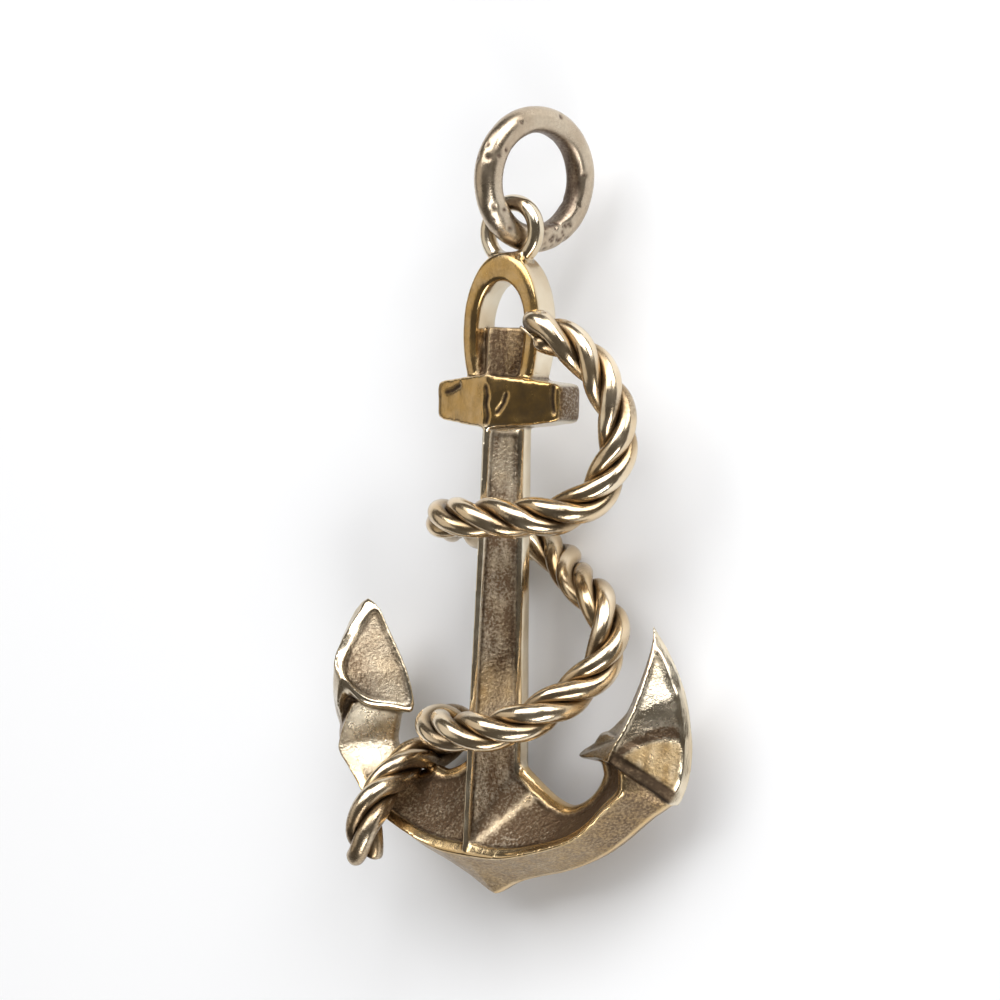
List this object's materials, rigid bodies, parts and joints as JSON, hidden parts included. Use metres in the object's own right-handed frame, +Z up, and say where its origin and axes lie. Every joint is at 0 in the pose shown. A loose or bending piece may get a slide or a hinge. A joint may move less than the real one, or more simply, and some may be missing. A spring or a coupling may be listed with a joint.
{
  "type": "anchor pendant",
  "caption": "Cast gold fouled anchor pendant: ridged shank, stock, arms and flukes, with a twisted rope wound round the shank and a jump ring at its head.",
  "frame": {"origin": "on the surface that the pendant lies on, below the middle of its box", "axes": "+Y from the crown to the jump ring, +X to the right seen from the front, +Z up, out of the anchor's front"},
  "size_m": [0.02, 0.0352, 0.008],
  "materials": {
    "anchor_casting": "worn polished rims round frosted, darkened panels",
    "jump_ring": "worn satin, with fine scratches",
    "rope": "polished on the crests, dark in the grooves"
  },
  "bodies": {
    "root": {"anchor_casting": "anchor_casting", "jump_ring": "jump_ring", "rope_strand_1": "rope", "rope_strand_2": "rope", "rope_strand_3": "rope"}
  },
  "joints": []
}
